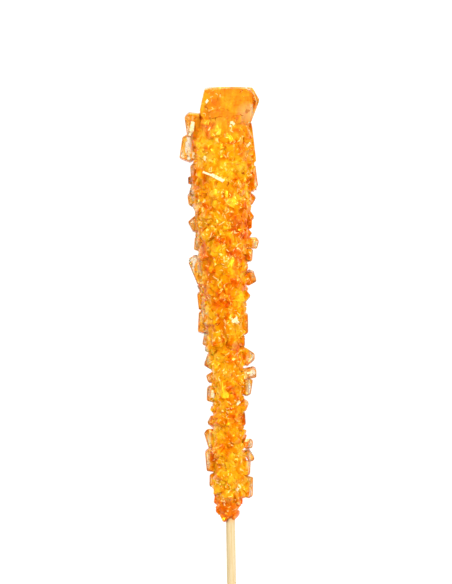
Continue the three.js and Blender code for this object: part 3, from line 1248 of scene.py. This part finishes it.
def frosted_glint_sugar():
    """White sugar with a fine frost on it: matt and bright, with a little cream in its grain. Its white is
    partly a painted highlight.
    """
    material = new_material("frosted_glint_sugar")
    place = stick_coordinates(material)
    grain = add_node(
        material, "ShaderNodeTexNoise", {"Scale": 1 / frost_grain, "Detail": 3}, {"Vector": place}
    )
    frost = add_node(
        material, "ShaderNodeValToRGB", {}, {"Fac": grain}, [(0.42, frost_cream), (0.54, glint_frost_white)]
    )
    relief = add_node(
        material, "ShaderNodeBump", {"Strength": 0.5, "Distance": frost_relief * mm}, {"Height": grain}
    )
    surface = add_node(
        material,
        "ShaderNodeBsdfPrincipled",
        {"IOR": sugar_ior, "Roughness": 0.45},
        {"Base Color": frost, "Normal": relief},
    )
    add_node(material, "ShaderNodeOutputMaterial", {}, {"Surface": surface})
    return material


first_slab, *other_slabs = frosted_glint_slabs()
frosted_glint_mesh = combined(first_slab, other_slabs, "UNION")
new_piece("frosted_glint_crystals", frosted_glint_mesh, [frosted_glint_sugar()], "crystals")

# The table and the light.
# A plain white sheet that glows a little, as on a light table, so that the clear crystals light up from
# below too. The light comes mostly from the sides, with three soft lamps for the glints. Metres.

scene = bpy.context.scene
table_size = 3.0
sheet_colour = "#808080"
table_glow = 0.9
# The sheet's fibres are finer than shows, so they are drawn coarser, a little over 1 mm apart.
sheet_fibres_per_metre = 900
sheet_relief = 0.1
wall_top = 0.1
wall_brightness = 0.52
ceiling_edge = 0.75
ceiling_brightness = 0.2
lamp_size = 0.2
lamp_power = 6.0
lamp_colour = (1.0, 0.95, 0.84)
lamps = {
    "lamp_left": (-0.6, 0.2, 0.6),
    "lamp_right": (0.6, -0.1, 0.55),
    "lamp_far": (0.1, 0.75, 0.5),
}


def white_sheet():
    """A matt white sheet lit from behind: even, with no gloss and a faint fibre."""
    material = new_material("white_sheet")
    place = add_node(material, "ShaderNodeTexCoord").outputs["Object"]
    fibre = add_node(
        material, "ShaderNodeTexNoise", {"Scale": sheet_fibres_per_metre, "Detail": 3}, {"Vector": place}
    )
    relief = add_node(
        material, "ShaderNodeBump", {"Strength": 0.05, "Distance": sheet_relief * mm}, {"Height": fibre}
    )
    surface = add_node(
        material,
        "ShaderNodeBsdfPrincipled",
        {
            "Base Color": linear(sheet_colour),
            "Roughness": 0.9,
            "Specular IOR Level": 0.0,
            "Emission Color": (1, 1, 1, 1),
            "Emission Strength": table_glow,
        },
        {"Normal": relief},
    )
    add_node(material, "ShaderNodeOutputMaterial", {}, {"Surface": surface})
    return material


table_mesh = bpy.data.meshes.new("table")
half = table_size / 2
corners = [(-half, -half, 0), (half, -half, 0), (half, half, 0), (-half, half, 0)]
table_mesh.from_pydata(corners, [], [(0, 1, 2, 3)])
table_mesh.materials.append(white_sheet())
table = bpy.data.objects.new("table", table_mesh)
scene.collection.objects.link(table)

studio = bpy.data.worlds.new("studio")
studio.use_nodes = True
studio.node_tree.nodes.clear()
direction = add_node(studio, "ShaderNodeTexCoord").outputs["Generated"]
height = add_node(studio, "ShaderNodeSeparateXYZ", {}, {"Vector": direction}).outputs["Z"]
wall_light = add_node(
    studio,
    "ShaderNodeMapRange",
    {"From Min": wall_top, "From Max": ceiling_edge, "To Min": wall_brightness, "To Max": ceiling_brightness},
    {"Value": height},
)
background = add_node(studio, "ShaderNodeBackground", {"Color": (1, 1, 1, 1)}, {"Strength": wall_light})
add_node(studio, "ShaderNodeOutputWorld", {}, {"Surface": background})
scene.world = studio

for name, place in lamps.items():
    lamp = bpy.data.lights.new(name, "AREA")
    lamp.shape = "SQUARE"
    lamp.size = lamp_size
    lamp.energy = lamp_power
    lamp.color = lamp_colour
    lamp_object = bpy.data.objects.new(name, lamp)
    lamp_object.location = place
    lamp_object.rotation_euler = (-Vector(place)).to_track_quat("-Z", "Y").to_euler()
    scene.collection.objects.link(lamp_object)

# The camera.
# It looks straight down from a metre up, where there is hardly any perspective, with the candy's flat
# end at the top of the picture and the bare end of the stick running out at the bottom.

camera_height = 1.0
sensor_height = 24
picture_height = 584
mm_per_pixel = 0.3
camera_roll = math.radians(-1.03)
middle_across = -0.1
middle_along = 68.4
middle_up = 8
clear_bounces = 24
plain_bounces = 8

camera = bpy.data.cameras.new("camera")
camera.sensor_fit = "VERTICAL"
camera.sensor_height = sensor_height
distance = camera_height - thin_end.z - middle_up * mm
camera.lens = sensor_height * distance / (picture_height * mm_per_pixel * mm)
middle = lying @ Vector((middle_across, middle_along, 0))
camera_object = bpy.data.objects.new("camera", camera)
camera_object.location = (middle.x, middle.y, camera_height)
camera_object.rotation_euler = Euler((0, 0, camera_roll))
scene.collection.objects.link(camera_object)
scene.camera = camera_object

scene.view_settings.view_transform = "Standard"
scene.cycles.max_bounces = clear_bounces
scene.cycles.transmission_bounces = clear_bounces
scene.cycles.diffuse_bounces = plain_bounces
scene.cycles.glossy_bounces = plain_bounces
